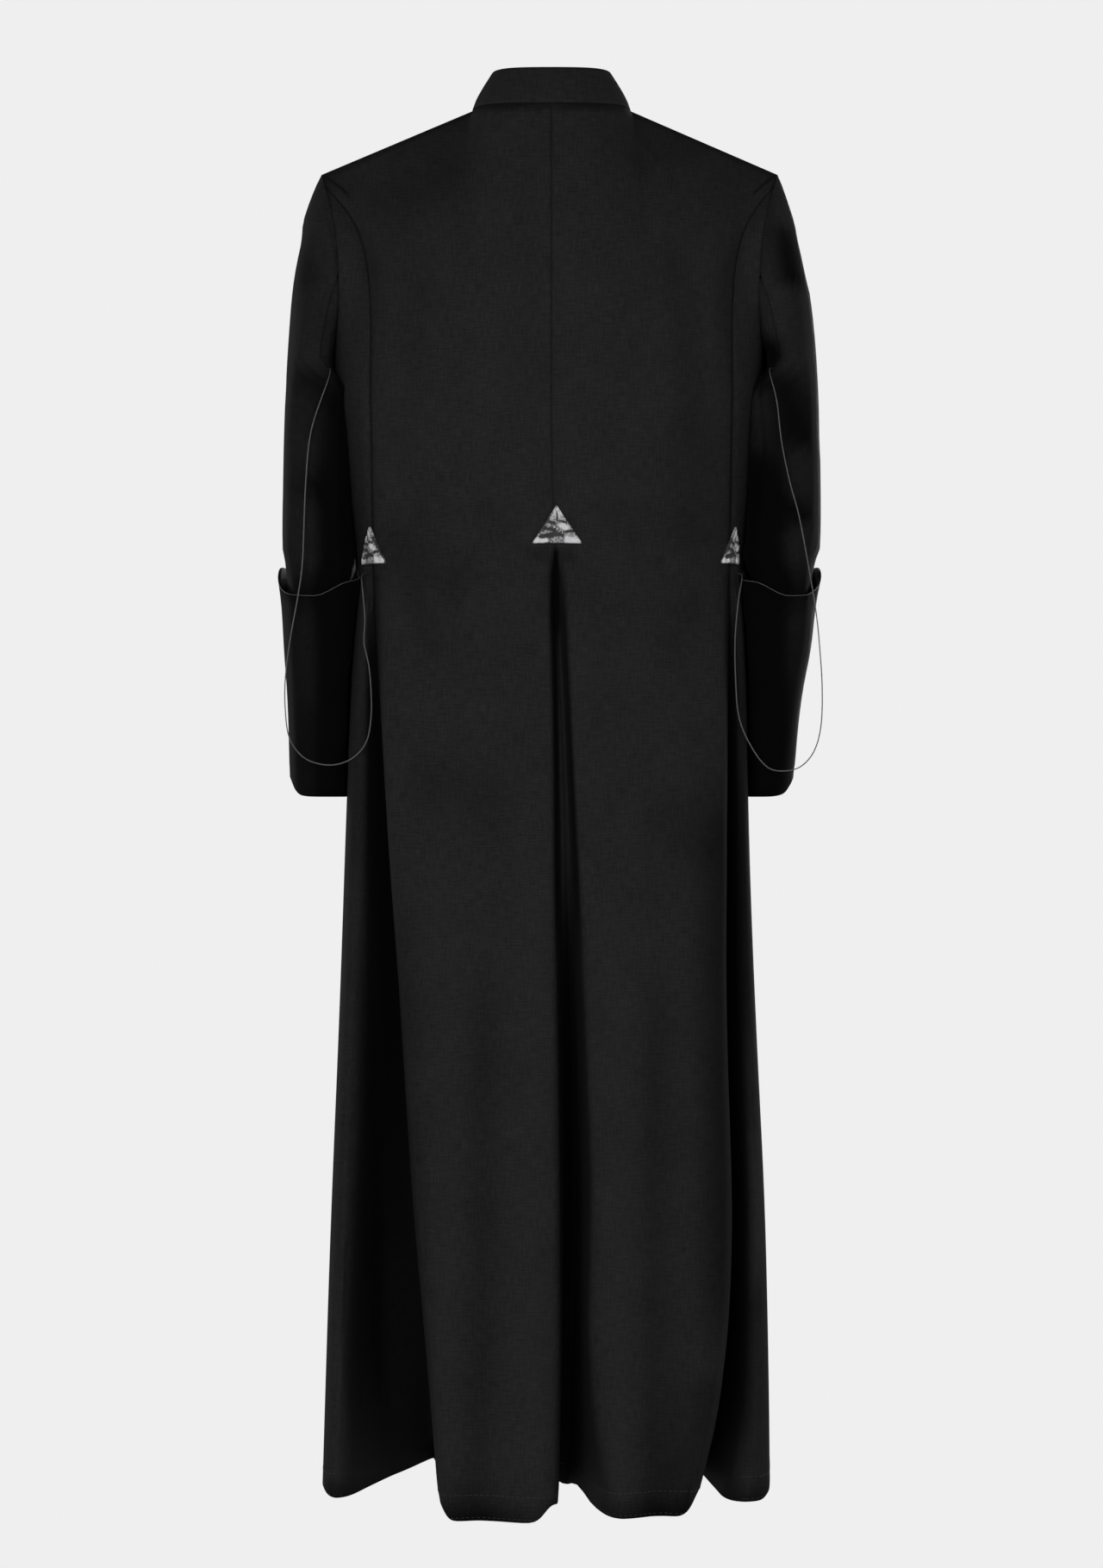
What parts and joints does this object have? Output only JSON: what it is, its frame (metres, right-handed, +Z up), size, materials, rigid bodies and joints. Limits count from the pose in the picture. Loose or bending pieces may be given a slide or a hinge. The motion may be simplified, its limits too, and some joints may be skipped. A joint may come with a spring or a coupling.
{
  "type": "cassock",
  "caption": "Long black clerical robe with a stand collar, turned-back cuffs, a buttoned front and inverted pleats in the back of the skirt, filled out as it is worn.",
  "frame": {"origin": "middle of the neck opening, level with the collar seam at the nape, where a stand, a hanger or a wearer's neck and shoulders hold the garment", "axes": "+Z up, -Y towards the garment's back, +X towards the wearer's right"},
  "size_m": [0.5648, 0.4181, 1.4374],
  "materials": {
    "black_wool": "fine black wool cloth with a soft low sheen",
    "button_wool": "black cloth over button moulds",
    "grey_satin": "grey satin stitch with bright ridges",
    "grey_cord": "thin twisted grey cord"
  },
  "bodies": {
    "root": {"arrowhead_centre": "grey_satin", "arrowhead_left": "grey_satin", "arrowhead_right": "grey_satin", "back_left": "black_wool", "back_right": "black_wool", "button_01": "button_wool", "button_02": "button_wool", "button_03": "button_wool", "button_04": "button_wool", "button_05": "button_wool", "button_06": "button_wool", "button_07": "button_wool", "button_08": "button_wool", "button_09": "button_wool", "button_10": "button_wool", "button_11": "button_wool", "button_12": "button_wool", "button_13": "button_wool", "button_14": "button_wool", "button_15": "button_wool", "button_16": "button_wool", "button_17": "button_wool", "button_18": "button_wool", "button_19": "button_wool", "button_20": "button_wool", "button_21": "button_wool", "button_22": "button_wool", "button_23": "button_wool", "button_24": "button_wool", "button_25": "button_wool", "button_26": "button_wool", "button_27": "button_wool", "button_28": "button_wool", "button_29": "button_wool", "button_30": "button_wool", "button_31": "button_wool", "button_32": "button_wool", "button_33": "button_wool", "collar": "black_wool", "cuff_left": "black_wool", "cuff_right": "black_wool", "fascia_cord_left": "grey_cord", "fascia_cord_right": "grey_cord", "front_left": "black_wool", "front_right": "black_wool", "side_left": "black_wool", "side_right": "black_wool", "sleeve_under_left": "black_wool", "sleeve_under_right": "black_wool", "sleeve_upper_left": "black_wool", "sleeve_upper_right": "black_wool"}
  },
  "joints": []
}
